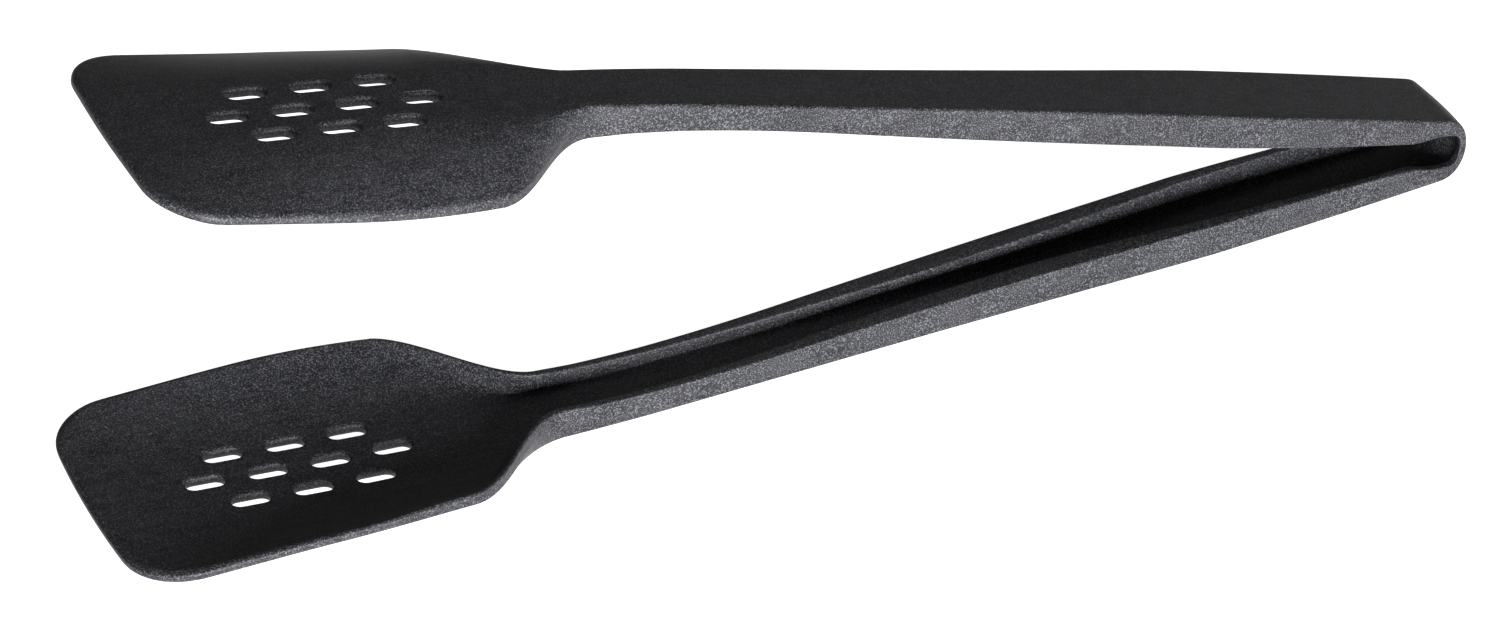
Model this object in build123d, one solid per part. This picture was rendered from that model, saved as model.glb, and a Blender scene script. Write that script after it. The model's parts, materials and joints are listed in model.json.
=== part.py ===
from build123d import *
import math
import os

# One-piece spring tongs for the kitchen, with two channel handles, two slotted
# blades and a U-shaped spring bow that joins the handles at the closed end.
# Millimetres and degrees. Frame: +Z up, X along the handles with the bow at
# +X and the tips at -X, Y across. The origin is the middle of the flat face
# under the lower handle, on which the tongs rest with that face at Z = 0.
# Along an arm, u is the distance from the bow's axis towards the tip and v is
# the height above the outer face of the handle's web, towards the other arm.

# Whole arm
overall_length = 290.0       # tip to the outside of the bow, along one arm
opening_angle = 17.5         # between the two webs at rest
web_arch = 5430.0            # radius of the web's slight arch along its length
rest_at = 117.0              # lowest place of the web, from the bow's axis
rest_depth = 0.25            # ground off the web there, which leaves the resting flat

# Spring bow
bow_radius = 7.1             # outside of the bow
strip_thickness = 1.25       # leaf at the crown of the bow
crown_rib = 0.3              # what is left of the side ribs at the crown
loop_radius = 3.5            # rounded end of the gap between the bow's side ribs
bow_width = 18.4             # across the bow at its crown
bow_leg = 10.0               # straight leg of the bow, up to the handle

# Handle: a channel with two side ribs that open towards the other arm
grip_width = 20.0            # handle where the palm holds it
grip_at = 52.0               # distance of that place from the bow's axis
neck_width = 15.2            # handle at its narrow end, where the neck starts
rib_height = 7.05            # web face to rim, at the tall part of the handle
root_height = 5.5            # web face to rim, at the bow
neck_height = 3.65           # web face to rim, at the neck
tall_at = 63.0               # where the ribs are tallest, from the bow's axis
rim_width = 4.8              # top of a rib at mid handle
end_rim_width = 1.9          # top of a rib at both ends of the handle
web_thickness = 2.9          # web at the neck end
web_corner = 0.8             # rounding between the web and a side
groove_draft = 0.5           # how far the groove's wall leans in

# Neck and blade
neck_length = 33.0           # start of the neck to the blade's heel
blade_length = 67.0          # heel to tip, along the arm
blade_width = 61.0           # at its widest
tip_width = 60.2             # across the square tip, before its corners
tip_corner = 12.8            # corner radius at the tip
tip_crown = 1.6              # how far the middle of the tip stands out
blade_thickness = 2.1
slow_flare = 0.21            # share of the blade's width that comes slowly, past the heel
blade_slope = 7.35           # slope of the blade's middle line to the web
heel_curve = 587.0           # radius that leads the web into that slope
blade_flat = 6.5             # half width of the blade's flat middle
edge_rise = 0.85             # how much higher the tip's corners are than its middle
heel_relief = 0.15           # drop of the edges at the heel, so the tips meet first
edge_lip = 0.5               # flat lip inside the blade's edge

# Drain slots, staggered in three rows
slot_length = 8.4
slot_width = 4.3
slot_pitch = 12.4            # along a row
slot_row_spacing = 7.7
slot_setback = 41.6          # tip to the middle of the pattern
slot_rows = ((-1, 3), (0, 4), (1, 3))     # row, slots in the row

# Places along the arm
arm_length = overall_length - bow_radius
heel_at = arm_length - blade_length
neck_at = heel_at - neck_length
rise_from = neck_at - 12.2                # the web starts to curve up
edge_up_from = neck_at - 43.4             # the rims start up to the blade's edges
edge_up_at = heel_at + 39.3
dish_from = neck_at - 19.2                # the web starts to spread into the dish
dish_at = heel_at + 6.4
thin_from = neck_at - 8.7                 # the ribs start to thin into the blade's wall
thin_at = heel_at + 25.0
flare_from = neck_at + 7.3                # the sides start to spread
flare_to = heel_at + 0.8                  # most of the spread is done
flare_end = heel_at + 27.0                # the blade is at its widest
half_opening = opening_angle / 2


def mix(a, b, t):
    return a + (b - a) * t


def ease(t):
    """Rise from 0 to 1 with level ends."""
    t = min(max(t, 0.0), 1.0)
    return t * t * (3 - 2 * t)


def change(u, start, end):
    """How far along from start to end u is, as a smooth step."""
    return ease((u - start) / (end - start))


def handle_half_width(u):
    """Widest at the palm, with a slight taper to the bow and a long one to the neck."""
    if u < grip_at:
        t = (grip_at - u) / (grip_at + bow_radius)
        return mix(grip_width, bow_width, t * t) / 2
    t = min((u - grip_at) / (neck_at - grip_at), 1.0)
    return mix(neck_width, grip_width, (1 - t) ** 2) / 2


def half_width(u):
    """Half the outline's width: handle, concave neck, blade and its taper."""
    taper = (arm_length - u) / (arm_length - flare_end)
    side = mix(tip_width, blade_width, taper) / 2
    quick = change(u, flare_from, flare_to)
    slow = change(u, flare_from, flare_end)
    return mix(handle_half_width(u), side, mix(quick, slow, slow_flare))


def middle_height(u):
    """Outer face on the centre line: arched web, tighter arc, then the sloping blade."""
    web_end = min(u, rise_from) - rest_at
    height = web_end * web_end / (2 * web_arch) - rest_depth
    start = (rise_from - rest_at) / web_arch
    slope = math.tan(math.radians(blade_slope))
    run = max(u - rise_from, 0.0)
    curved = min(run, (slope - start) * heel_curve)
    height += curved * start + curved * curved / (2 * heel_curve)
    return height + (run - curved) * slope


# The bow's leg leaves the handle along the web, and its crown is round its axis
leg_slope = (rest_at - bow_leg / 2) / web_arch
leg_rise = bow_leg * leg_slope + bow_radius * math.hypot(1, leg_slope)
bow_height = middle_height(bow_leg) + leg_rise


def rim_height(u):
    """Rib over the handle: tallest near the bow, lower at both ends."""
    if u < tall_at:
        t = (tall_at - u) / (tall_at - bow_leg)
        return mix(rib_height, root_height, t * t)
    t = (u - tall_at) / (neck_at - tall_at)
    return mix(rib_height, neck_height, t * t)


def edge_top(u):
    """Top of the blade's edges: nearly a plane through the bow's axis."""
    tip = middle_height(arm_length) + blade_thickness + edge_rise
    plane = mix(bow_height, tip, u / arm_length)
    return plane - heel_relief * (arm_length - u) / blade_length


def rim_top(u):
    rib = middle_height(u) + rim_height(min(u, neck_at))
    return mix(rib, edge_top(u), change(u, edge_up_from, edge_up_at))


def side_height(u):
    """Height of the upright side face: the whole rib, then the blade's edge."""
    rib = rim_height(min(u, neck_at)) - web_corner
    return mix(rib, blade_thickness, change(u, thin_from, thin_at))


def rim_across(u):
    t = min(max((u - bow_leg) / (neck_at - bow_leg), 0.0), 1.0)
    rim = mix(end_rim_width, rim_width, math.sin(math.pi * t) ** 2)
    return mix(rim, edge_lip, change(u, thin_from, thin_at))


def floor_thickness(u):
    web = mix(strip_thickness, web_thickness, ease((u - bow_leg - 25.0) / (neck_at - 90.0)))
    return mix(web, blade_thickness, change(u, thin_from, thin_at))


def section(u):
    """Closed outline across the arm at u: web, sides, rims and groove."""
    x = rest_at - u
    t = change(u, dish_from, dish_at)
    side = half_width(u)
    low = middle_height(u)
    top = rim_top(u)
    floor = low + floor_thickness(u)
    web_y = mix(side - web_corner, blade_flat, t)
    rim_y = side - rim_across(u)
    floor_y = mix(rim_y - groove_draft, blade_flat, t)
    turn_out = mix(side, (web_y + side) / 2, t)
    turn_in = mix(rim_y - groove_draft / 4, (floor_y + rim_y) / 2, t)
    edge = top - side_height(u)

    def point(y, z):
        return Vector(x, y, z)

    edges = [Line(point(-web_y, low), point(web_y, low))]
    edges.append(Bezier(point(web_y, low), point(turn_out, low), point(side, edge)))
    edges.append(Line(point(side, edge), point(side, top)))
    edges.append(Line(point(side, top), point(rim_y, top)))
    edges.append(Bezier(point(rim_y, top), point(turn_in, floor), point(floor_y, floor)))
    edges.append(Line(point(floor_y, floor), point(-floor_y, floor)))
    edges.append(Bezier(point(-floor_y, floor), point(-turn_in, floor), point(-rim_y, top)))
    edges.append(Line(point(-rim_y, top), point(-side, top)))
    edges.append(Line(point(-side, top), point(-side, edge)))
    edges.append(Bezier(point(-side, edge), point(-turn_out, low), point(-web_y, low)))
    return Wire(edges)


def length_of_arm(start, end, steps):
    """Solid of the arm from start to end, through evenly spaced sections."""
    places = [mix(start, end, i / steps) for i in range(steps + 1)]
    return Solid.make_loft([section(u) for u in places])


def slot_places():
    """Middle of each drain slot, as its distance u and its place across."""
    for row, count in slot_rows:
        for i in range(count):
            along = (i - (count - 1) / 2) * slot_pitch
            yield arm_length - slot_setback + along, row * slot_row_spacing


def make_handle():
    """Channel with the resting flat ground across the lowest part of its web."""
    handle = length_of_arm(bow_leg, neck_at, 12)
    above = Box(2 * overall_length, 2 * grip_width, 4 * rib_height)
    return handle & Pos(0, 0, 2 * rib_height) * above


def make_neck():
    return length_of_arm(neck_at, heel_at, 7)


def tip_outline():
    """Plan of the blade's square tip, open wide behind its rounded corners."""
    tip_x = rest_at - arm_length
    corner_x = tip_x + tip_crown
    half = tip_width / 2
    back_x = tip_x + blade_length + 1
    back = half + blade_length * ((blade_width - tip_width) / 2 / (arm_length - flare_end) + 0.03)
    outline = Wire([
        ThreePointArc((corner_x, -half), (tip_x, 0), (corner_x, half)),
        Line((corner_x, half), (back_x, back)),
        Line((back_x, back), (back_x, -back)),
        Line((back_x, -back), (corner_x, -half)),
    ])
    face = Face(outline)
    corners = face.vertices().sort_by(Axis.X)[:2]
    return fillet(corners, tip_corner)


def make_blade():
    """Dished blade with a rounded square tip and its drain slots."""
    blade = length_of_arm(heel_at, arm_length, 6)
    tall = 4 * blade_thickness + middle_height(arm_length)
    blade = blade & extrude(tip_outline(), amount=tall, dir=(0, 0, 1))
    for u, y in slot_places():
        slot = SlotOverall(slot_length, slot_width)
        blade = blade - Pos(rest_at - u, y, 0) * extrude(slot, amount=tall)
    return blade


def bow_plan(inset):
    """Upright prism over the bow's tapered plan, drawn in by inset."""
    leg_x = rest_at - bow_leg
    crown_x = rest_at + bow_radius
    root = handle_half_width(bow_leg) - inset
    crown = bow_width / 2 - inset
    run = (root - crown) / (crown_x - leg_x)
    plan = Polygon(
        (leg_x - 1, -root - run), (crown_x + 1, run - crown),
        (crown_x + 1, crown - run), (leg_x - 1, root + run), align=None,
    )
    return extrude(plan, amount=4 * bow_radius, both=True)


def make_bow():
    """U-shaped leaf with side ribs that fade out towards its crown."""
    axis = Vector(rest_at, bow_height)
    tilt = math.radians(half_opening)
    crown = Vector(math.cos(tilt), -math.sin(tilt))
    down = Vector(0, -1).rotate(Axis.Z, math.degrees(math.atan(leg_slope)))
    mid_arc = (down + crown).normalized()
    fold = Plane(origin=axis, z_dir=(math.sin(tilt), math.cos(tilt), 0))
    leg_x = rest_at - bow_leg
    leg_out = Vector(leg_x, middle_height(bow_leg))
    leg_in = leg_out + Vector(0, strip_thickness)

    def to_crown(centre, radius):
        return ThreePointArc(centre + down * radius, centre + mid_arc * radius, centre + crown * radius)

    def both_halves(lower):
        edges = lower + [edge.mirror(fold) for edge in lower]
        return Plane.XZ * Face(Wire(edges))

    outside = [Line(leg_out, axis + down * bow_radius), to_crown(axis, bow_radius)]
    leaf_radius = bow_radius - strip_thickness
    leaf_inside = [Line(leg_in, axis + down * leaf_radius), to_crown(axis, leaf_radius)]
    loop = axis + crown * (leaf_radius - crown_rib - loop_radius)
    low = loop + down * loop_radius
    rim_end = leg_out + Vector(0, rim_height(bow_leg))
    bend = Vector((low.X - leg_x) / 2, 0)
    rib_inside = [Bezier(rim_end, rim_end + bend, low - bend, low), to_crown(loop, loop_radius)]
    mouth = axis - crown * (bow_leg + bow_radius)
    ribbed = both_halves([*outside, *rib_inside, Line(leg_out, rim_end)])
    groove = both_halves([*leaf_inside, Line(leg_in, mouth)])
    bow = extrude(ribbed, amount=grip_width, both=True) & bow_plan(0)
    return bow - (extrude(groove, amount=grip_width, both=True) & bow_plan(end_rim_width))


def bisector():
    """Plane midway between the arms, through the bow's axis."""
    tilt = math.radians(half_opening)
    normal = (math.sin(tilt), 0, math.cos(tilt))
    return Plane(origin=(rest_at, 0, bow_height), z_dir=normal)


parts = {}
parts["lower_handle"] = make_handle()
parts["lower_neck"] = make_neck()
parts["lower_blade"] = make_blade()
for piece in ("handle", "neck", "blade"):
    parts["upper_" + piece] = mirror(parts["lower_" + piece], about=bisector())
parts["spring_bow"] = make_bow()

os.makedirs("parts", exist_ok=True)
for name, part in parts.items():
    part.label = name
    export_step(part, "parts/" + name + ".step")
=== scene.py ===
"""Kitchen tongs moulded in one piece from black glass-filled nylon.

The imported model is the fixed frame. Its seven regions are each replaced by a finer skin of the
same sizes: two handles, two necks, two slotted blades and the spring bow between the handles.

The classes count in millimetres and the meshes are in metres. Along an arm, u is the distance
from the bow's axis towards the tip, y is across the arm, and z is the height above the face
that the tongs rest on. The upper arm is the lower one mirrored about the plane between them.
"""

from __future__ import annotations

import json
import logging
import math
from dataclasses import dataclass
from enum import Enum

import bmesh
import bpy
import numpy as np
from mathutils import Matrix, Vector
from mathutils.geometry import delaunay_2d_cdt

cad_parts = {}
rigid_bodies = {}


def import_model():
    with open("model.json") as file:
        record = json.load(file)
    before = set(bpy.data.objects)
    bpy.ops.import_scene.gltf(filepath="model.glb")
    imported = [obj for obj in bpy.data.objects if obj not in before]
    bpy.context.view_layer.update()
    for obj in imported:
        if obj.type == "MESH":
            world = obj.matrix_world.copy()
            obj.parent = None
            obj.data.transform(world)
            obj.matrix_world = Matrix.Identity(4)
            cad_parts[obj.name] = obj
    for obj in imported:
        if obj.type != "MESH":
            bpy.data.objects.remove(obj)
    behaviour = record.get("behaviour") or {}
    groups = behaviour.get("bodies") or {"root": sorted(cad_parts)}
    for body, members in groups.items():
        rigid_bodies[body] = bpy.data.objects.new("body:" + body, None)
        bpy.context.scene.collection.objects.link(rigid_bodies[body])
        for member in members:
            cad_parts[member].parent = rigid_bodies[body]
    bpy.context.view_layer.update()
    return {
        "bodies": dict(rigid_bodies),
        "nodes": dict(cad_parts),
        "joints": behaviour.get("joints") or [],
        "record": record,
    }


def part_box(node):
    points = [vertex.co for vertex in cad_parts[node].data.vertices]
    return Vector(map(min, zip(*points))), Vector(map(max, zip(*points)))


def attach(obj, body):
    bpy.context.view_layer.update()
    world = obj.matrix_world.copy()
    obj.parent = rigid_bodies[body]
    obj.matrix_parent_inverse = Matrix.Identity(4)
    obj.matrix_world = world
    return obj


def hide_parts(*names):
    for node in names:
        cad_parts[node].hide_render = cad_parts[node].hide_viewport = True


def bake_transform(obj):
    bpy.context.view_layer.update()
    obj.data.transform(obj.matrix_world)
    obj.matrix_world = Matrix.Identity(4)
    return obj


log = logging.getLogger("tongs")

MM = 0.001
SMOOTH_UNDER = math.radians(38)
Number = float | np.ndarray
Place = tuple[float, float] | np.ndarray


class Arm(Enum):
    """The two arms of the tongs."""

    LOWER = "lower"
    UPPER = "upper"

    @property
    def body(self) -> str:
        """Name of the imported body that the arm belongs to."""
        return f"{self.value}_arm"


def mix(a: Number, b: Number, t: Number) -> Number:
    """Go from a to b as t goes from 0 to 1."""
    return a + (b - a) * t


def ease(t: Number) -> Number:
    """Rise from 0 to 1 with level ends."""
    t = np.clip(t, 0.0, 1.0)
    return t * t * (3 - 2 * t)


def curve_points(
    start: Place, control: Place, end: Place, first: float, last: float, count: int
) -> list[np.ndarray]:
    """Sample a quadratic curve.

    Args:
        start: First point of the curve.
        control: Point that its ends aim at.
        end: Last point of the curve.
        first: Share of the curve at which the samples begin.
        last: Share of the curve at which they end.
        count: Number of samples.

    Returns:
        The sampled points.
    """
    start, control, end = (np.array(p, float) for p in (start, control, end))
    shares = np.linspace(first, last, count)
    return [(1 - s) ** 2 * start + 2 * s * (1 - s) * control + s * s * end for s in shares]


@dataclass
class Channel:
    """One half of a section across the moulding, from its middle below to its middle above."""

    half: float
    low: float
    top: float
    edge: float
    floor: float
    web_y: float
    rim_y: float
    floor_y: float
    turn_out: float
    turn_in: float
    rounding: float
    stretch: float = 1.0
    share_of_side: float = 0.3
    share_of_rim: float = 0.45
    share_of_groove: float = 0.4

    def half_points(self) -> list[np.ndarray]:
        """Outline of one half, with its three edges rounded.

        Returns:
            Points (y, height), in order.
        """
        rim = (self.half - self.rim_y) / self.stretch
        of_side = self.share_of_side * (self.top - self.edge)
        of_rim = self.share_of_rim * rim
        outer = min(self.rounding, of_rim, of_side)
        inner = min(self.rounding, of_rim, self.share_of_groove * (self.top - self.floor))
        under = min(self.rounding, of_side)
        side_low = (self.half, self.edge)
        side_top = (self.half, self.top)
        rim_in = (self.rim_y, self.top)
        out_aim = math.dist((self.turn_out, self.low), side_low)
        in_aim = math.dist((self.turn_in, self.floor), rim_in)
        out_end = 1 - min(under / (2 * out_aim), 0.4)
        in_start = min(inner / (2 * in_aim), 0.4)
        web = curve_points((0, self.low), (self.web_y / 2, self.low), (self.web_y, self.low), 0, 0.8, 4)
        flank = curve_points((self.web_y, self.low), (self.turn_out, self.low), side_low, 0, out_end, 9)
        lower_edge = curve_points(flank[-1], side_low, (self.half, self.edge + under), 0.25, 0.75, 3)
        side = [np.array((self.half, mix(self.edge + under, self.top - outer, s))) for s in (0, 0.5, 1)]
        over = curve_points(side[-1], side_top, (self.half - outer * self.stretch, self.top), 0.2, 1, 5)
        aim, foot = (self.turn_in, self.floor), (self.floor_y, self.floor)
        wall = curve_points(rim_in, aim, foot, in_start, 1, 13)
        rim_end = np.array((self.rim_y + inner * self.stretch, self.top))
        across = [over[-1] * 0.5 + rim_end * 0.5]
        inside = curve_points(rim_end, rim_in, wall[0], 0, 0.8, 5)
        floor = [np.array((self.floor_y * s, self.floor)) for s in (0.8, 0.5, 0.2, 0)]
        return web + flank + lower_edge + side + over + across + inside + wall + floor

    def ring(self) -> np.ndarray:
        """The whole section as one closed loop of (y, height) points.

        Returns:
            The points, in order.
        """
        half = np.array(self.half_points())
        other = half[-2:0:-1] * np.array((-1.0, 1.0))
        return np.vstack([half, other])


@dataclass(frozen=True)
class Moulding:
    """Sizes of the tongs and the shape of an arm at every distance u."""

    axis_x: float
    axis_z: float
    bow_leg: float
    neck_at: float
    heel_at: float
    arm_length: float
    opening_angle: float = 17.5
    web_arch: float = 5430.0
    rest_at: float = 117.0
    rest_depth: float = 0.25
    bow_radius: float = 7.1
    strip_thickness: float = 1.25
    crown_rib: float = 0.3
    loop_radius: float = 3.5
    bow_width: float = 18.4
    bow_dome: float = 1.2
    grip_width: float = 20.0
    grip_at: float = 52.0
    neck_width: float = 15.2
    rib_height: float = 7.05
    root_height: float = 5.5
    neck_height: float = 3.65
    tall_at: float = 63.0
    rim_width: float = 4.8
    end_rim_width: float = 1.9
    web_thickness: float = 2.9
    web_corner: float = 0.8
    groove_draft: float = 0.5
    blade_width: float = 61.0
    tip_width: float = 60.2
    tip_corner: float = 12.8
    tip_crown: float = 1.6
    blade_thickness: float = 2.1
    slow_flare: float = 0.21
    blade_slope: float = 7.35
    heel_curve: float = 587.0
    blade_flat: float = 6.5
    edge_rise: float = 0.85
    heel_relief: float = 0.15
    edge_lip: float = 0.5
    edge_round: float = 0.4
    rise_before_neck: float = 12.2
    edge_up_before_neck: float = 43.4
    edge_up_past_heel: float = 39.3
    dish_before_neck: float = 19.2
    dish_past_heel: float = 6.4
    thin_before_neck: float = 8.7
    thin_past_heel: float = 25.0
    flare_past_neck: float = 7.3
    quick_flare_past_heel: float = 0.8
    flare_past_heel: float = 27.0
    thick_web_past_leg: float = 25.0
    thick_web_before_neck: float = 90.0
    slope_step: float = 0.05

    @classmethod
    def from_frame(cls, frame: dict) -> Moulding:
        """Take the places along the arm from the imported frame.


        Returns:
            The moulding's sizes.
        """
        hinge = frame["joints"][0]["pos_m"]
        axis_x = hinge[0] / MM
        handle_low, handle_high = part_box("lower_handle")
        blade_low, blade_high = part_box("lower_blade")
        return cls(
            axis_x=axis_x,
            axis_z=hinge[2] / MM,
            bow_leg=axis_x - handle_high.x / MM,
            neck_at=axis_x - handle_low.x / MM,
            heel_at=axis_x - blade_high.x / MM,
            arm_length=axis_x - blade_low.x / MM,
        )

    @property
    def blade_length(self) -> float:
        """Heel to tip."""
        return self.arm_length - self.heel_at

    @property
    def tilt(self) -> float:
        """Half the opening angle, in radians."""
        return math.radians(self.opening_angle / 2)

    def handle_half_width(self, u: Number) -> Number:
        """Half width of the handle: widest at the palm, narrow at the neck.

        Args:
            u: Distance from the bow's axis, one or many.

        Returns:
            Half of the width there.
        """
        back = (self.grip_at - u) / (self.grip_at + self.bow_radius)
        near = mix(self.grip_width, self.bow_width, back**2)
        along = np.clip((u - self.grip_at) / (self.neck_at - self.grip_at), 0, 1)
        far = mix(self.neck_width, self.grip_width, (1 - along) ** 2)
        return np.where(u < self.grip_at, near, far) / 2

    def half_width(self, u: Number) -> Number:
        """Half the outline's width: handle, concave neck, blade and its taper.

        Args:
            u: Distance from the bow's axis, one or many.

        Returns:
            Half of the width there.
        """
        flare_from = self.neck_at + self.flare_past_neck
        quick_end = self.heel_at + self.quick_flare_past_heel
        flare_end = self.heel_at + self.flare_past_heel
        taper = (self.arm_length - u) / (self.arm_length - flare_end)
        side = mix(self.tip_width, self.blade_width, taper) / 2
        quick = ease((u - flare_from) / (quick_end - flare_from))
        slow = ease((u - flare_from) / (flare_end - flare_from))
        return mix(self.handle_half_width(u), side, mix(quick, slow, self.slow_flare))

    def side_slope(self, u: float) -> float:
        """How fast the side spreads at u.

        Args:
            u: Distance from the bow's axis.

        Returns:
            Growth of the half width for each millimetre.
        """
        step = self.slope_step
        return float(self.half_width(u + step) - self.half_width(u - step)) / (2 * step)

    def middle_height(self, u: Number) -> Number:
        """Outer face on the centre line: arched web, tighter arc, then the sloping blade.

        Args:
            u: Distance from the bow's axis, one or many.

        Returns:
            Height of the outer face there.
        """
        rise_from = self.neck_at - self.rise_before_neck
        web_end = np.minimum(u, rise_from) - self.rest_at
        height = np.maximum(web_end**2 / (2 * self.web_arch) - self.rest_depth, 0)
        start = (rise_from - self.rest_at) / self.web_arch
        slope = math.tan(math.radians(self.blade_slope))
        run = np.maximum(u - rise_from, 0)
        curved = np.minimum(run, (slope - start) * self.heel_curve)
        bent = curved * start + curved**2 / (2 * self.heel_curve)
        return height + bent + (run - curved) * slope

    def rim_height(self, u: Number) -> Number:
        """Rib over the handle: tallest near the bow, lower at both ends.

        Args:
            u: Distance from the bow's axis, one or many.

        Returns:
            Height of the rib's top over the web.
        """
        back = (self.tall_at - u) / (self.tall_at - self.bow_leg)
        ahead = (u - self.tall_at) / (self.neck_at - self.tall_at)
        near = mix(self.rib_height, self.root_height, back**2)
        far = mix(self.rib_height, self.neck_height, ahead**2)
        return np.where(u < self.tall_at, near, far)

    def edge_top(self, u: Number) -> Number:
        """Top of the blade's edges: nearly a plane through the bow's axis.

        Args:
            u: Distance from the bow's axis, one or many.

        Returns:
            Height of the edge there.
        """
        tip = self.middle_height(self.arm_length) + self.blade_thickness + self.edge_rise
        plane = mix(self.axis_z, tip, u / self.arm_length)
        return plane - self.heel_relief * (self.arm_length - u) / self.blade_length

    def thinning(self, u: Number) -> Number:
        """How far the ribs have thinned into the blade's wall.

        Args:
            u: Distance from the bow's axis, one or many.

        Returns:
            Share from 0 in the handle to 1 in the blade.
        """
        start = self.neck_at - self.thin_before_neck
        return ease((u - start) / (self.heel_at + self.thin_past_heel - start))

    def measures(self, u: Number) -> dict[str, Number]:
        """Every height and width of the section at u, which may be an array.

        Args:
            u: Distance from the bow's axis, one or many.

        Returns:
            Values for the fields of Channel, by name.
        """
        neck_u = np.minimum(u, self.neck_at)
        edge_from = self.neck_at - self.edge_up_before_neck
        dish_from = self.neck_at - self.dish_before_neck
        dish = ease((u - dish_from) / (self.heel_at + self.dish_past_heel - dish_from))
        thin = self.thinning(u)
        side = self.half_width(u)
        low = self.middle_height(u)
        rib = self.rim_height(neck_u)
        edge_up = ease((u - edge_from) / (self.heel_at + self.edge_up_past_heel - edge_from))
        top = mix(low + rib, self.edge_top(u), edge_up)
        along = np.clip((u - self.bow_leg) / (self.neck_at - self.bow_leg), 0, 1)
        rim = mix(self.end_rim_width, self.rim_width, np.sin(math.pi * along) ** 2)
        rim = mix(rim, self.edge_lip, thin)
        thick_from = self.bow_leg + self.thick_web_past_leg
        web = ease((u - thick_from) / (self.neck_at - self.thick_web_before_neck))
        wall = mix(mix(self.strip_thickness, self.web_thickness, web), self.blade_thickness, thin)
        web_y = mix(side - self.web_corner, self.blade_flat, dish)
        rim_y = side - rim
        floor_y = mix(rim_y - self.groove_draft, self.blade_flat, dish)
        return {
            "half": side,
            "low": low,
            "top": top,
            "edge": top - mix(rib - self.web_corner, self.blade_thickness, thin),
            "floor": low + wall,
            "web_y": web_y,
            "rim_y": rim_y,
            "floor_y": floor_y,
            "turn_out": mix(side, (web_y + side) / 2, dish),
            "turn_in": mix(rim_y - self.groove_draft / 4, (floor_y + rim_y) / 2, dish),
        }

    def section(self, u: float) -> np.ndarray:
        """Closed loop of points (x, y, z) across the arm at u.

        Args:
            u: Distance from the bow's axis.

        Returns:
            The points, in millimetres.
        """
        measures = {name: float(value) for name, value in self.measures(u).items()}
        stretch = math.hypot(1.0, self.side_slope(u))
        ring = Channel(rounding=self.edge_round, stretch=stretch, **measures).ring()
        return np.column_stack([np.full(len(ring), self.axis_x - u), ring])

    def under_and_over(self, u: np.ndarray, y: np.ndarray) -> tuple[np.ndarray, np.ndarray]:
        """Heights of the blade's outer and inner faces.

        Args:
            u: Distances from the bow's axis.
            y: Places across the blade.

        Returns:
            Height of the outer face and of the inner face at each place.
        """
        m = self.measures(u)
        out_share = share_along(m["web_y"], m["turn_out"], m["half"], np.abs(y))
        in_share = share_along(m["floor_y"], m["turn_in"], m["rim_y"], np.abs(y))
        under = mix(m["low"], m["edge"], out_share**2)
        over = mix(m["floor"], m["top"], in_share**2)
        return under, over

    def mirror(self) -> Matrix:
        """Reflection about the plane midway between the arms, in metres.

        Returns:
            The reflection.
        """
        normal = Vector((math.sin(self.tilt), 0, math.cos(self.tilt)))
        centre = Vector((self.axis_x, 0, self.axis_z)) * MM
        flip = Matrix.Identity(3) - 2 * Matrix([[a * b for b in normal] for a in normal])
        return Matrix.Translation(centre) @ flip.to_4x4() @ Matrix.Translation(-centre)


def share_along(start: Number, control: Number, end: Number, y: np.ndarray) -> np.ndarray:
    """Find where a quadratic curve reaches given places across.

    Args:
        start: Place of its first point.
        control: Place that its ends aim at.
        end: Place of its last point.
        y: Places to find.

    Returns:
        Shares of the curve, held between 0 and 1.
    """
    bend = start - 2 * control + end
    run = 2 * (control - start)
    rest = start - y
    straight = np.abs(bend) < 1e-6
    root = np.sqrt(np.maximum(run**2 - 4 * bend * rest, 0))
    share = np.where(straight, -rest / run, (root - run) / (2 * np.where(straight, 1, bend)))
    return np.clip(share, 0, 1)


def finished_mesh(name: str, points: np.ndarray, faces: list[list[int]]) -> bpy.types.Mesh:
    """Make a closed mesh whose faces look outwards.

    Args:
        name: Name of the mesh.
        points: Its vertices in millimetres.
        faces: Vertex numbers of each face.

    Returns:
        The mesh in metres, smooth except at its sharp corners.
    """
    mesh = bpy.data.meshes.new(name)
    mesh.from_pydata((np.asarray(points) * MM).tolist(), [], faces)
    turn_outwards(mesh)
    return mesh


def turn_outwards(mesh: bpy.types.Mesh) -> None:
    """Merge doubled vertices, face every face outwards and set the shading.

    Args:
        mesh: The mesh, changed in place.
    """
    edit = bmesh.new()
    edit.from_mesh(mesh)
    bmesh.ops.remove_doubles(edit, verts=edit.verts, dist=1e-7)
    bmesh.ops.recalc_face_normals(edit, faces=edit.faces)
    edit.to_mesh(mesh)
    edit.free()
    mesh.shade_smooth()
    mesh.set_sharp_from_angle(angle=SMOOTH_UNDER)


def skin(name: str, rings: list[np.ndarray]) -> bpy.types.Mesh:
    """Join closed rings of points into a tube with a cap at each end.

    Args:
        name: Name of the mesh.
        rings: Rings with the same number of points.

    Returns:
        The closed mesh.
    """
    count = len(rings[0])
    faces = []
    for ring in range(len(rings) - 1):
        for k in range(count):
            here = ring * count + k
            beside = ring * count + (k + 1) % count
            faces.append([here, beside, beside + count, here + count])
    faces.append(list(range(count)))
    faces.append(list(range((len(rings) - 1) * count, len(rings) * count)))
    return finished_mesh(name, np.vstack(rings), faces)


@dataclass
class ArmLength:
    """Handle or neck: a skin over evenly spaced sections of the arm."""

    moulding: Moulding
    name: str
    start: float
    end: float
    ring_step: float = 1.3

    def mesh(self) -> bpy.types.Mesh:
        """The closed skin of the lower arm's handle or neck.

        Returns:
            The mesh.
        """
        steps = math.ceil((self.end - self.start) / self.ring_step)
        places = np.linspace(self.start, self.end, steps + 1)
        return skin(self.name, [self.moulding.section(u) for u in places])


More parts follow.
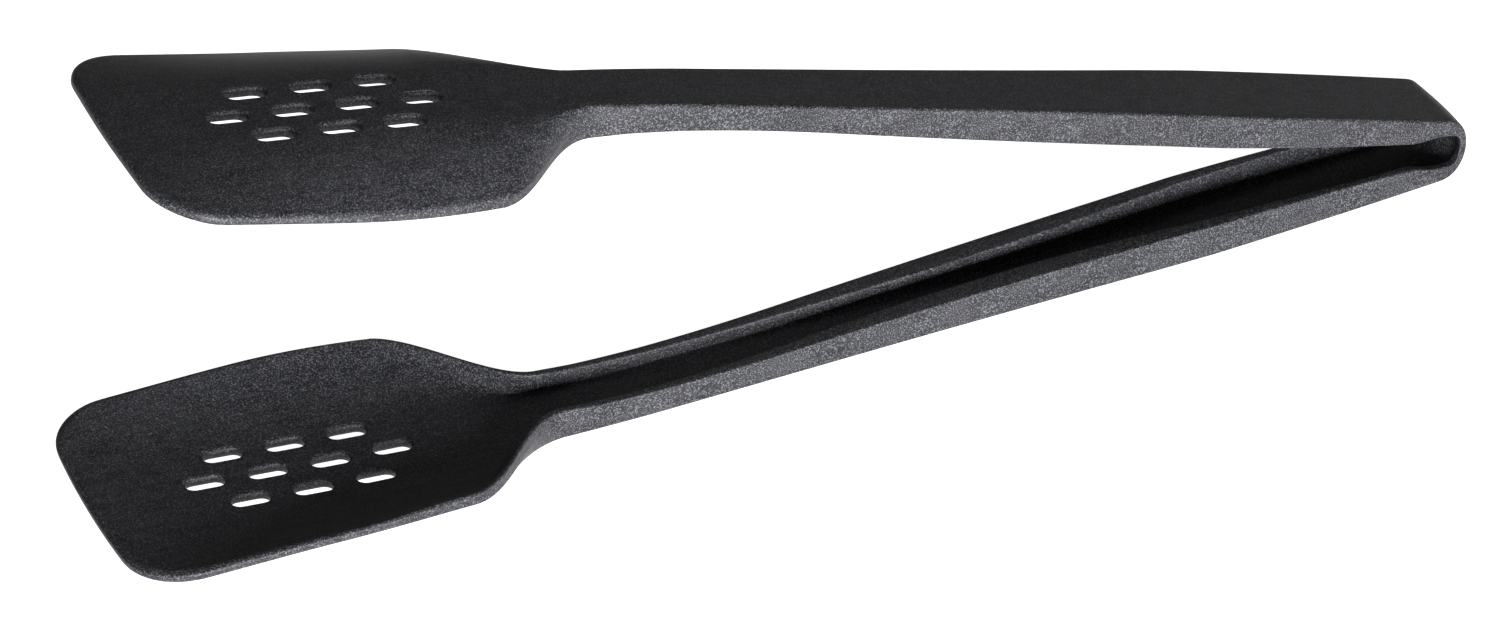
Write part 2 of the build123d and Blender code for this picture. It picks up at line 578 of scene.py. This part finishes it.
@dataclass
class SlotPattern:
    """Drain slots in three staggered rows, cut by a node tree."""

    length: float = 8.4
    width: float = 4.3
    throat: float = 0.4
    mouth: float = 0.12
    pitch: float = 12.4
    row_spacing: float = 7.7
    setback: float = 41.6
    rounding: float = 0.8
    row_counts: tuple[int, int, int] = (3, 4, 3)
    reach: float = 1.2
    slope: float = 0.122

    def cutter(self, wall: float) -> bpy.types.Object:
        """Plug with the slot's outline that flares where it leaves the wall.

        Args:
            wall: Thickness of the blade.

        Returns:
            The plug, with the middle of the blade's inner face at its origin.
        """
        flare = []
        for angle in (90, 60, 30, 0):
            turn = math.radians(angle)
            grown = mix(-self.throat, self.mouth, 1 - math.cos(turn))
            flare.append((grown, self.rounding * (1 - math.sin(turn))))
        levels = [(self.mouth, self.reach)]
        levels += [(grown, -deep) for grown, deep in flare]
        levels += [(grown, deep - wall) for grown, deep in reversed(flare)]
        levels.append((self.mouth, -wall - self.reach))
        rings = [self.obround(grown, level) for grown, level in levels]
        return bpy.data.objects.new("slot_plug", skin("slot_plug", rings))

    def obround(self, grown: float, level: float) -> np.ndarray:
        """Ring with round ends along X, sheared to follow the blade's slope.

        Args:
            grown: How much larger than the slot it is, all round.
            level: Its height over the blade's inner face.

        Returns:
            Points (x, y, z) in millimetres.
        """
        radius = self.width / 2 + grown
        centre = (self.length - self.width) / 2
        points = []
        for side in (1, -1):
            for angle in np.linspace(-90, 90, 13):
                turn = math.radians(angle)
                x = side * (centre + radius * math.cos(turn))
                points.append((x, side * radius * math.sin(turn), level - self.slope * x))
        return np.array(points)

    def tree(self) -> bpy.types.NodeTree:
        """Node tree that sets the plugs on the blade in rows and cuts them out.

        Returns:
            The tree.
        """
        tree = bpy.data.node_groups.new("drain_slots", "GeometryNodeTree")
        face = tree.interface
        face.new_socket("Blade", in_out="INPUT", socket_type="NodeSocketGeometry")
        face.new_socket("Plug", in_out="INPUT", socket_type="NodeSocketObject")
        face.new_socket("Middle", in_out="INPUT", socket_type="NodeSocketVector")
        face.new_socket("Pitch", in_out="INPUT", socket_type="NodeSocketFloat")
        face.new_socket("Row Spacing", in_out="INPUT", socket_type="NodeSocketFloat")
        face.new_socket("Finish", in_out="INPUT", socket_type="NodeSocketMaterial")
        face.new_socket("Slotted Blade", in_out="OUTPUT", socket_type="NodeSocketGeometry")
        nodes, links = tree.nodes, tree.links
        given = nodes.new("NodeGroupInput")
        rows = nodes.new("GeometryNodeJoinGeometry")
        step = nodes.new("ShaderNodeCombineXYZ")
        links.new(given.outputs["Pitch"], step.inputs["X"])
        for row, count in enumerate(self.row_counts):
            back = nodes.new("ShaderNodeMath")
            back.operation = "MULTIPLY"
            back.inputs[1].default_value = -(count - 1) / 2
            links.new(given.outputs["Pitch"], back.inputs[0])
            across = nodes.new("ShaderNodeMath")
            across.operation = "MULTIPLY"
            across.inputs[1].default_value = row - (len(self.row_counts) - 1) / 2
            links.new(given.outputs["Row Spacing"], across.inputs[0])
            offset = nodes.new("ShaderNodeCombineXYZ")
            links.new(back.outputs[0], offset.inputs["X"])
            links.new(across.outputs[0], offset.inputs["Y"])
            start = nodes.new("ShaderNodeVectorMath")
            start.operation = "ADD"
            links.new(given.outputs["Middle"], start.inputs[0])
            links.new(offset.outputs[0], start.inputs[1])
            line = nodes.new("GeometryNodeMeshLine")
            line.mode = "OFFSET"
            line.inputs["Count"].default_value = count
            links.new(start.outputs[0], line.inputs["Start Location"])
            links.new(step.outputs[0], line.inputs["Offset"])
            links.new(line.outputs["Mesh"], rows.inputs[0])
        drop = nodes.new("GeometryNodeRaycast")
        drop.inputs["Ray Direction"].default_value = (0, 0, -1)
        drop.inputs["Ray Length"].default_value = 0.2
        settle = nodes.new("GeometryNodeSetPosition")
        links.new(given.outputs["Blade"], drop.inputs["Target Geometry"])
        links.new(rows.outputs[0], settle.inputs["Geometry"])
        links.new(drop.outputs["Hit Position"], settle.inputs["Position"])
        plug = nodes.new("GeometryNodeObjectInfo")
        links.new(given.outputs["Plug"], plug.inputs["Object"])
        copies = nodes.new("GeometryNodeInstanceOnPoints")
        links.new(settle.outputs[0], copies.inputs["Points"])
        links.new(plug.outputs["Geometry"], copies.inputs["Instance"])
        cut = nodes.new("GeometryNodeMeshBoolean")
        cut.operation = "DIFFERENCE"
        cut.solver = "EXACT"
        links.new(given.outputs["Blade"], cut.inputs["Mesh 1"])
        links.new(copies.outputs["Instances"], cut.inputs["Mesh 2"])
        real = nodes.new("GeometryNodeRealizeInstances")
        dress = nodes.new("GeometryNodeSetMaterial")
        out = nodes.new("NodeGroupOutput")
        links.new(cut.outputs["Mesh"], real.inputs[0])
        links.new(real.outputs[0], dress.inputs["Geometry"])
        links.new(given.outputs["Finish"], dress.inputs["Material"])
        links.new(dress.outputs[0], out.inputs[0])
        return tree

    def cut(
        self, blade: bpy.types.Mesh, moulding: Moulding, finish: bpy.types.Material
    ) -> bpy.types.Mesh:
        """Cut the slots out of a blade.

        Args:
            blade: The lower blade, whole.
            moulding: Sizes of the tongs.
            finish: Material of the result.

        Returns:
            The slotted blade as a plain mesh.
        """
        piece = bpy.data.objects.new("whole_blade", blade)
        plug = self.cutter(moulding.blade_thickness)
        for helper in (piece, plug):
            bpy.context.scene.collection.objects.link(helper)
        tree = self.tree()
        modifier = piece.modifiers.new("drain_slots", "NODES")
        modifier.node_group = tree
        middle_x = moulding.axis_x - moulding.arm_length + self.setback
        above = moulding.edge_top(moulding.arm_length) + 20
        values = {
            "Plug": plug,
            "Middle": (middle_x * MM, 0.0, float(above) * MM),
            "Pitch": self.pitch * MM,
            "Row Spacing": self.row_spacing * MM,
            "Finish": finish,
        }
        for socket in tree.interface.items_tree:
            if socket.in_out == "INPUT" and socket.name in values:
                modifier[socket.identifier] = values[socket.name]
        seen = piece.evaluated_get(bpy.context.evaluated_depsgraph_get())
        slotted = bpy.data.meshes.new_from_object(seen)
        for helper in (piece, plug):
            bpy.data.objects.remove(helper)
        turn_outwards(slotted)
        return slotted


@dataclass
class Blade:
    """Dished blade with a square tip: a closed skin over its plan."""

    moulding: Moulding
    cell: float = 1.1
    corner_steps: int = 16
    tip_steps: int = 18
    bevel: tuple[float, float] = (1.5, 0.75)
    under_roll: tuple[float, float] = (0.9, 0.8)
    slant_room: float = 1.4
    seam_steps: int = 44
    bevel_start: float = 35.0
    bevel_run: float = 25.0

    def corner_centre(self) -> tuple[float, float]:
        """Centre of the tip's corner round, tangent to the side and to the crowned tip.

        Returns:
            Its u and its y.
        """
        m = self.moulding
        half = float(m.half_width(m.arm_length))
        crown = self.tip_radius()
        radius = m.tip_corner
        u, y = m.arm_length - radius, half - radius
        for _ in range(6):
            slope = m.side_slope(u)
            y = float(m.half_width(u)) - radius * math.hypot(1, slope)
            u = m.arm_length - crown + math.sqrt((crown - radius) ** 2 - y * y)
        return u, y

    def tip_radius(self) -> float:
        """Radius of the tip's gentle crown.

        Returns:
            The radius.
        """
        m = self.moulding
        half = m.tip_width / 2
        return (half**2 + m.tip_crown**2) / (2 * m.tip_crown)

    def outline(self) -> tuple[np.ndarray, np.ndarray]:
        """Plan of the blade from one end of the heel round the tip to the other.

        Returns:
            Points (u, y) and the directions that lead inwards from them.
        """
        m = self.moulding
        centre_u, centre_y = self.corner_centre()
        side_slope = m.side_slope(centre_u)
        first = math.atan2(1.0, -side_slope)
        crown = self.tip_radius()
        crown_u = m.arm_length - crown
        last = math.atan2(centre_y, centre_u - crown_u)
        side_end = centre_u + m.tip_corner * math.cos(first)
        points, inward = [], []
        side_steps = round((side_end - m.heel_at) / self.cell)
        for u in np.linspace(m.heel_at, side_end, side_steps, endpoint=False):
            slope = m.side_slope(u)
            points.append((u, float(m.half_width(u))))
            inward.append(np.array((slope, -1.0)) / math.hypot(1, slope))
        for angle in np.linspace(first, last, self.corner_steps, endpoint=False):
            out = np.array((math.cos(angle), math.sin(angle)))
            points.append(np.array((centre_u, centre_y)) + m.tip_corner * out)
            inward.append(-out)
        for angle in np.linspace(last, 0, self.tip_steps):
            out = np.array((math.cos(angle), math.sin(angle)))
            points.append(np.array((crown_u, 0)) + crown * out)
            inward.append(-out)
        inward[0] = np.array((0, -math.hypot(1, m.side_slope(m.heel_at))))
        points, inward = np.array(points), np.array(inward)
        other = np.array((1, -1))
        return np.vstack([points, points[-2::-1] * other]), np.vstack([inward, inward[-2::-1] * other])

    def inside(self, u: np.ndarray, y: np.ndarray, margin: float) -> np.ndarray:
        """Whether places lie within the plan by at least a margin.

        Args:
            u: Distances from the bow's axis.
            y: Places across the blade.
            margin: Least distance from the outline.

        Returns:
            True for each place that does.
        """
        m = self.moulding
        centre_u, centre_y = self.corner_centre()
        crown = self.tip_radius()
        within = np.abs(y) < m.half_width(u) - margin * self.slant_room
        within &= np.hypot(u - m.arm_length + crown, y) < crown - margin
        corner = (u > centre_u) & (np.abs(y) > centre_y)
        from_centre = np.hypot(u - centre_u, np.abs(y) - centre_y)
        return within & (~corner | (from_centre < m.tip_corner - margin))

    def roll(
        self, size: tuple[float, float], grow: np.ndarray, start: float
    ) -> list[tuple[np.ndarray, np.ndarray]]:
        """Steps that round an edge over, from the face out to the side.

        Args:
            size: How far in and how deep the rounding reaches, away from the heel.
            grow: How far each place has come from the neck's small rounding to that size.
            start: Angle in degrees at which it leaves the face, which leaves a faint line.

        Returns:
            For each step, the inset and the depth at each place.
        """
        m = self.moulding
        reach = mix(m.edge_round, size[0], grow)
        depth = mix(m.edge_round, size[1], grow)
        first = math.radians(start)
        steps = [(reach + 0.3, depth * 0)]
        for angle in np.linspace(first, math.pi / 2, 6):
            inset = reach * (1 - math.sin(angle)) / (1 - math.sin(first))
            steps.append((inset, depth * (1 - math.cos(angle) / math.cos(first))))
        return steps

    def mesh(self) -> bpy.types.Mesh:
        """The whole blade without its slots.

        Returns:
            The mesh.
        """
        m = self.moulding
        points, inward = self.outline()
        count = len(points)
        grow = ease((points[:, 0] - m.heel_at) / self.bevel_run)
        vertices, rings, rim = [], [], points
        under_steps = self.roll(self.under_roll, grow, 0)
        over_steps = self.roll(self.bevel, grow, self.bevel_start)[::-1]
        for rolls, is_top in ((under_steps, False), (over_steps, True)):
            for inset, sink in rolls:
                place = points + inward * inset[:, None]
                under, over = m.under_and_over(place[:, 0], place[:, 1])
                height = over - sink if is_top else under + sink
                rings.append([len(vertices) + k for k in range(count)])
                vertices.extend(zip(m.axis_x - place[:, 0], place[:, 1], height))
                rim = place
        seam_y = np.linspace(rim[-1, 1], rim[0, 1], self.seam_steps)[1:-1]
        seam = np.column_stack([np.full(len(seam_y), m.heel_at), seam_y])
        grid_u, grid_y = np.meshgrid(
            np.arange(m.heel_at + self.cell, m.arm_length, self.cell),
            np.arange(-m.blade_width / 2, m.blade_width / 2, self.cell) + self.cell / 2,
        )
        keep = self.inside(grid_u.ravel(), grid_y.ravel(), self.bevel[0] + 0.8)
        middle = np.column_stack([grid_u.ravel()[keep], grid_y.ravel()[keep]])
        flat = np.vstack([rim, seam, middle])
        border = list(range(count + len(seam)))
        _, _, faces, origins, _, _ = delaunay_2d_cdt(
            [Vector(p) for p in flat], [], [border[::-1]], 1, 1e-6
        )
        plain = [[origins[v][0] for v in face] for face in faces]
        under, over = m.under_and_over(flat[count:, 0], flat[count:, 1])
        all_faces = []
        for lower, upper in zip(rings, rings[1:]):
            for k in range(count - 1):
                all_faces.append([lower[k], lower[k + 1], upper[k + 1], upper[k]])
        caps = []
        for ring, heights in ((rings[0], under), (rings[-1], over)):
            first = len(vertices)
            vertices.extend(zip(m.axis_x - flat[count:, 0], flat[count:, 1], heights))
            numbers = ring + list(range(first, first + len(heights)))
            caps.append(numbers)
            all_faces.extend([[numbers[v] for v in face] for face in plain])
        seam_numbers = range(count, count + len(seam))
        section = [caps[0][v] for v in reversed(seam_numbers)]
        section += [ring[-1] for ring in rings]
        section += [caps[1][v] for v in seam_numbers]
        section += [ring[0] for ring in reversed(rings)]
        all_faces.append(section)
        return finished_mesh("blade", np.array(vertices), all_faces)


@dataclass
class SpringBow:
    """U-shaped leaf whose side ribs fade out towards the crown."""

    moulding: Moulding
    leg_steps: int = 9
    arc_steps: int = 34
    crown_round: float = 0.35

    def stations(self) -> list[tuple[np.ndarray, np.ndarray, np.ndarray, float]]:
        """Places from the lower handle to the crown.

        Returns:
            For each, a point (x, z) on the outside, the direction through the leaf, the point
            on top of the ribs, and how near the crown it is, from 0 to 1.
        """
        m = self.moulding
        axis = np.array((m.axis_x, m.axis_z))
        crown = np.array((math.cos(m.tilt), -math.sin(m.tilt)))
        slope = (m.rest_at - m.bow_leg / 2) / m.web_arch
        down = np.array((slope, -1)) / math.hypot(1, slope)
        leg = np.array((m.axis_x - m.bow_leg, float(m.middle_height(m.bow_leg))))
        loop = axis + crown * (m.bow_radius - m.strip_thickness - m.crown_rib - m.loop_radius)
        low = loop + down * m.loop_radius
        rim = leg + np.array((0, m.root_height))
        bend = np.array(((low[0] - leg[0]) / 2, 0))
        found = []
        for share in np.linspace(0, 1, self.leg_steps, endpoint=False):
            outside = mix(leg, axis + down * m.bow_radius, share)
            through = mix(np.array((0.0, 1.0)), -down, share)
            a, b, c, d = rim, rim + bend, low - bend, low
            rest = 1 - share
            rib = rest**3 * a + 3 * rest**2 * share * b + 3 * rest * share**2 * c + share**3 * d
            found.append((outside, through / np.linalg.norm(through), rib, 0.0))
        sweep = math.acos(float(down @ crown))
        for share in np.linspace(0, 1, self.arc_steps):
            angle = sweep * (1 - share)
            out = crown * math.cos(angle) + np.array((crown[1], -crown[0])) * math.sin(angle)
            near = max(0.0, math.cos(angle)) ** 2
            found.append((axis + out * m.bow_radius, -out, loop + out * m.loop_radius, near))
        return found

    def rings(self) -> list[np.ndarray]:
        """Sections from the lower handle to the crown, as rings of points in millimetres.

        Returns:
            The rings.
        """
        m = self.moulding
        root = float(m.handle_half_width(m.bow_leg))
        leg_x = m.axis_x - m.bow_leg
        crown_way = np.array((math.cos(m.tilt), -math.sin(m.tilt)))
        made = []
        for outside, through, rib, near in self.stations():
            along = (outside[0] - leg_x) / (m.bow_leg + m.bow_radius)
            half = mix(root, m.bow_width / 2, along)
            leaf = m.strip_thickness
            rib_way = (rib - outside - through * leaf)
            tall = leaf + float(np.linalg.norm(rib_way))
            rib_way = rib_way / np.linalg.norm(rib_way)
            corner = mix(m.web_corner, self.crown_round, near)
            rim_y = half - m.end_rim_width
            channel = Channel(
                half=half,
                low=0.0,
                top=tall,
                edge=corner,
                floor=leaf,
                web_y=half - corner,
                rim_y=rim_y,
                floor_y=rim_y - m.groove_draft,
                turn_out=half,
                turn_in=rim_y - m.groove_draft / 4,
                rounding=m.edge_round,
            )
            points = []
            for y, height in channel.ring():
                place = outside + through * min(height, leaf) + rib_way * max(height - leaf, 0)
                place = place - crown_way * m.bow_dome * near * (y / half) ** 2
                points.append((place[0], y, place[1]))
            made.append(np.array(points))
        return made

    def mesh(self) -> bpy.types.Mesh:
        """The whole bow, from one handle round the crown to the other.

        Returns:
            The mesh.
        """
        lower = self.rings()
        flip = np.array(self.moulding.mirror())
        turn, shift = flip[:3, :3], flip[:3, 3] / MM
        upper = [ring @ turn.T + shift for ring in lower[-2::-1]]
        return skin("spring_bow_leaf", lower + upper)


@dataclass(frozen=True)
class NylonFinish:
    """Matt black nylon with pale glass flecks, faintly dragged along the arms."""

    name: str = "black_glass_filled_nylon"
    deep: tuple[float, float, float] = (0.0045, 0.0045, 0.0062)
    pale: tuple[float, float, float] = (0.084, 0.086, 0.096)
    fleck_size: float = 0.00030
    cloud_size: float = 0.006
    drag_size: float = 0.0011
    roughness: tuple[float, float] = (0.44, 0.62)
    relief: float = 0.00006

    def noise(
        self, tree: bpy.types.NodeTree, size: float, detail: float, along: float = 1.0
    ) -> bpy.types.NodeSocket:
        """Add a noise of a given grain.

        Args:
            tree: Node tree of the material.
            size: Size of a grain in metres.
            detail: How many finer layers it has.
            along: How much a grain is drawn out along the arms.

        Returns:
            The noise's value, from 0 to 1.
        """
        place = tree.nodes.new("ShaderNodeTexCoord")
        drawn = tree.nodes.new("ShaderNodeMapping")
        drawn.inputs["Scale"].default_value = (1 / along, 1, 1)
        grain = tree.nodes.new("ShaderNodeTexNoise")
        grain.inputs["Scale"].default_value = 1 / size
        grain.inputs["Detail"].default_value = detail
        tree.links.new(place.outputs["Object"], drawn.inputs["Vector"])
        tree.links.new(drawn.outputs["Vector"], grain.inputs["Vector"])
        return grain.outputs["Fac"]

    def span(
        self,
        tree: bpy.types.NodeTree,
        value: bpy.types.NodeSocket,
        given: tuple[float, float],
        wanted: tuple[float, float],
    ) -> bpy.types.NodeSocket:
        """Map a value from one range to another, held at its ends.

        Args:
            tree: Node tree of the material.
            value: The value.
            given: Range that it comes in.
            wanted: Range that it leaves in.

        Returns:
            The mapped value.
        """
        node = tree.nodes.new("ShaderNodeMapRange")
        tree.links.new(value, node.inputs["Value"])
        for socket, number in zip(("From Min", "From Max", "To Min", "To Max"), (*given, *wanted)):
            node.inputs[socket].default_value = number
        return node.outputs["Result"]

    def sum_of(
        self,
        tree: bpy.types.NodeTree,
        first: bpy.types.NodeSocket,
        second: bpy.types.NodeSocket,
    ) -> bpy.types.NodeSocket:
        """Add two values.

        Args:
            tree: Node tree of the material.
            first: One value.
            second: The other.

        Returns:
            Their sum.
        """
        node = tree.nodes.new("ShaderNodeMath")
        node.operation = "ADD"
        tree.links.new(first, node.inputs[0])
        tree.links.new(second, node.inputs[1])
        return node.outputs[0]

    def build(self) -> bpy.types.Material:
        """The finish as a material.

        Returns:
            The material.
        """
        material = bpy.data.materials.new(self.name)
        material.use_nodes = True
        tree = material.node_tree
        shader = tree.nodes["Principled BSDF"]
        flecks = self.noise(tree, self.fleck_size, 2.0)
        clouds = self.noise(tree, self.cloud_size, 3.0)
        drag = self.noise(tree, self.drag_size, 2.0, along=9.0)
        speck = self.span(tree, flecks, (0.50, 0.69), (0.0, 1.0))
        tone = self.sum_of(tree, speck, self.span(tree, clouds, (0.3, 0.7), (0.0, 0.07)))
        tone = self.sum_of(tree, tone, self.span(tree, drag, (0.35, 0.65), (-0.03, 0.07)))
        colour = tree.nodes.new("ShaderNodeMix")
        colour.data_type = "RGBA"
        colour.inputs["A"].default_value = (*self.deep, 1)
        colour.inputs["B"].default_value = (*self.pale, 1)
        tree.links.new(tone, colour.inputs["Factor"])
        tree.links.new(colour.outputs["Result"], shader.inputs["Base Color"])
        rough = self.span(tree, flecks, (0.3, 0.7), self.roughness)
        tree.links.new(rough, shader.inputs["Roughness"])
        shader.inputs["Specular IOR Level"].default_value = 0.25
        height = self.sum_of(tree, flecks, self.span(tree, drag, (0.3, 0.7), (0.0, 0.3)))
        bump = tree.nodes.new("ShaderNodeBump")
        bump.inputs["Strength"].default_value = 0.5
        bump.inputs["Distance"].default_value = self.relief
        tree.links.new(height, bump.inputs["Height"])
        tree.links.new(bump.outputs["Normal"], shader.inputs["Normal"])
        return material


@dataclass
class Tongs:
    """The whole moulding, built region by region and dressed."""

    moulding: Moulding
    finish: bpy.types.Material
    bend_reach: float = 3.0

    def add(self, name: str, mesh: bpy.types.Mesh, node: str) -> bpy.types.Object:
        """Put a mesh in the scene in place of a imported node.

        Args:
            name: Name of the piece.
            mesh: Its mesh, where it belongs.
            node: The node that it stands for.

        Returns:
            The piece.
        """
        mesh.name = name
        mesh.materials.clear()
        mesh.materials.append(self.finish)
        piece = bpy.data.objects.new(name, mesh)
        bpy.context.scene.collection.objects.link(piece)
        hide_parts(node)
        log.info("%s: %d faces for %s", name, len(mesh.polygons), node)
        return piece

    def add_region(self, region: str, mesh: bpy.types.Mesh) -> None:
        """Add a region of the lower arm, and its mirror image on the upper arm.

        Args:
            region: Name of the region.
            mesh: Its mesh on the lower arm.
        """
        other = mesh.copy()
        other.transform(self.moulding.mirror())
        turn_outwards(other)
        for arm, part in ((Arm.LOWER, mesh), (Arm.UPPER, other)):
            piece = self.add(f"{arm.value}_{region}_skin", part, f"{arm.value}_{region}")
            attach(piece, arm.body)

    def add_bow(self) -> None:
        """Add the bow, which runs from one handle round the crown to the other."""
        m = self.moulding
        piece = self.add("spring_bow_leaf", SpringBow(m).mesh(), "spring_bow")
        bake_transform(piece)

    def build(self) -> None:
        """Build every region."""
        m = self.moulding
        self.add_region("handle", ArmLength(m, "handle", m.bow_leg, m.neck_at).mesh())
        self.add_region("neck", ArmLength(m, "neck", m.neck_at, m.heel_at).mesh())
        self.add_region("blade", SlotPattern().cut(Blade(m).mesh(), m, self.finish))
        self.add_bow()


class Lamp(Enum):
    """Soft lights round the table: place, size and power."""

    FRONT = ((-0.25, -1.35, 0.19), 0.38, 66.0)
    OVERHEAD = ((0.1, 0.5, 1.6), 1.6, 3.0)
    BOW_END = ((1.3, 0.2, 0.7), 0.8, 0.3)

    @property
    def place(self) -> Vector:
        """Where the light hangs, in metres."""
        return Vector(self.value[0])

    @property
    def size(self) -> float:
        """Side of its square, in metres."""
        return self.value[1]

    @property
    def power(self) -> float:
        """Its power in watts."""
        return self.value[2]


@dataclass
class Studio:
    """Pale table, soft light and the camera."""

    target: tuple[float, float, float] = (-0.0413, -0.0246, 0.030)
    azimuth: float = -22.91
    elevation: float = 34.97
    roll: float = -2.76
    distance: float = 1.040
    lens: float = 133.5
    table_size: float = 12.0
    table_glow: float = 0.85
    ambient: float = 0.14

    def add_table(self) -> None:
        """Add the white table that the tongs rest on."""
        material = bpy.data.materials.new("white_table")
        material.use_nodes = True
        shader = material.node_tree.nodes["Principled BSDF"]
        shader.inputs["Base Color"].default_value = (0.9, 0.9, 0.9, 1)
        shader.inputs["Roughness"].default_value = 0.7
        shader.inputs["Emission Color"].default_value = (1, 1, 1, 1)
        shader.inputs["Emission Strength"].default_value = self.table_glow
        half = self.table_size / 2
        mesh = bpy.data.meshes.new("table")
        corners = [(-half, -half, 0), (half, -half, 0), (half, half, 0), (-half, half, 0)]
        mesh.from_pydata(corners, [], [[0, 1, 2, 3]])
        mesh.materials.append(material)
        table = bpy.data.objects.new("table", mesh)
        bpy.context.scene.collection.objects.link(table)

    def add_lights(self) -> None:
        """Add the lamps and a pale surrounding."""
        scene = bpy.context.scene
        for lamp in Lamp:
            light = bpy.data.lights.new(lamp.name.lower(), "AREA")
            light.energy = lamp.power
            light.size = lamp.size
            holder = bpy.data.objects.new(light.name, light)
            holder.location = lamp.place
            aim = Vector(self.target) - lamp.place
            holder.rotation_euler = aim.to_track_quat("-Z", "Y").to_euler()
            scene.collection.objects.link(holder)
        world = bpy.data.worlds.new("pale_room")
        world.use_nodes = True
        glow = world.node_tree.nodes["Background"]
        glow.inputs["Color"].default_value = (1.0, 1.0, 1.0, 1)
        glow.inputs["Strength"].default_value = self.ambient
        scene.world = world
        scene.view_settings.view_transform = "Standard"

    def add_camera(self) -> None:
        """Add the camera and make it the scene's own."""
        data = bpy.data.cameras.new("camera")
        data.lens = self.lens
        data.sensor_width = 36.0
        camera = bpy.data.objects.new("camera", data)
        turn, lift = math.radians(self.azimuth), math.radians(self.elevation)
        level_part = math.cos(lift)
        back = Vector((math.sin(turn) * level_part, -math.cos(turn) * level_part, math.sin(lift)))
        camera.location = Vector(self.target) + back * self.distance
        level = (-back).to_track_quat("-Z", "Y").to_matrix()
        rolled = level @ Matrix.Rotation(math.radians(self.roll), 3, "Z")
        camera.rotation_euler = rolled.to_euler()
        bpy.context.scene.collection.objects.link(camera)
        bpy.context.scene.camera = camera


def main() -> None:
    """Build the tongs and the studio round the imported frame."""
    logging.basicConfig(level=logging.INFO, format="%(name)s: %(message)s")
    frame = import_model()
    studio = Studio()
    studio.add_camera()
    Tongs(Moulding.from_frame(frame), NylonFinish().build()).build()
    studio.add_table()
    studio.add_lights()


if __name__ == "__main__":
    main()
